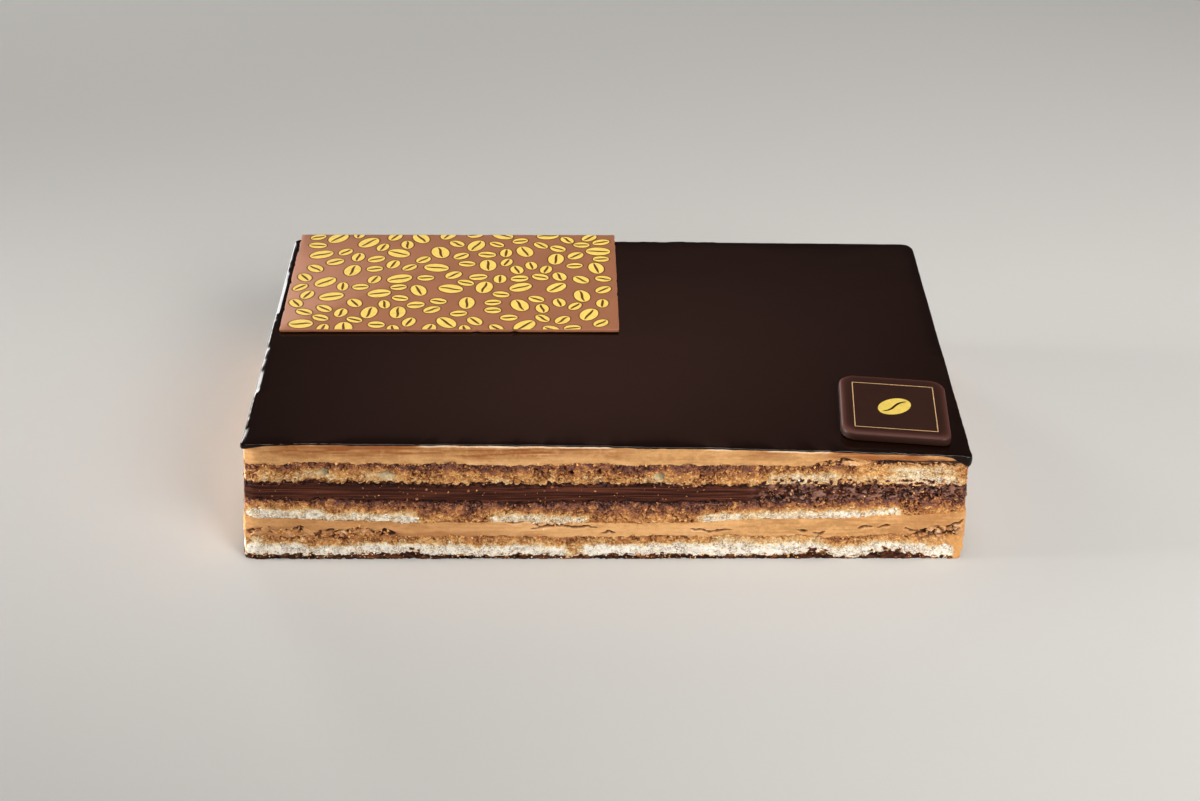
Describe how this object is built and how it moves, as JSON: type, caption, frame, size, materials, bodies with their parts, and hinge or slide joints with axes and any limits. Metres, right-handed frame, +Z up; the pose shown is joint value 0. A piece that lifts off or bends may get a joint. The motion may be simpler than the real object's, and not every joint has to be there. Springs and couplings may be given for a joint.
{
  "type": "opera cake",
  "caption": "Rectangular layered coffee and chocolate cake with a glossy dark glaze, a patterned milk chocolate plate and a small dark chocolate badge on top.",
  "frame": {"origin": "middle of the cake's foot, on the surface that it rests on", "axes": "+X along the long cut front towards the end with the badge, +Y from the cut front to the back, +Z up"},
  "size_m": [0.201, 0.1216, 0.0403],
  "materials": {
    "base_coat": "set dark chocolate, satin",
    "sponge_bottom": "cut almond sponge, matt and crumbly",
    "cream_lower": "knife-cut coffee buttercream, satin",
    "sponge_middle": "cut almond sponge soaked in coffee syrup, matt and crumbly",
    "ganache": "knife-cut chocolate ganache, satin",
    "sponge_top": "cut almond sponge, matt and crumbly",
    "cream_upper": "knife-cut coffee buttercream, satin",
    "glaze": "poured dark chocolate glaze, mirror gloss",
    "plaque": "milk chocolate set on a printed sheet, satin, with a gold pattern",
    "badge": "moulded dark chocolate, satin gloss, with a gold frame line"
  },
  "bodies": {
    "root": {"base_coat": "base_coat", "sponge_bottom": "sponge_bottom", "cream_lower": "cream_lower", "sponge_middle": "sponge_middle", "ganache": "ganache", "sponge_top": "sponge_top", "cream_upper": "cream_upper", "glaze": "glaze", "plaque": "plaque", "badge": "badge"}
  },
  "joints": []
}
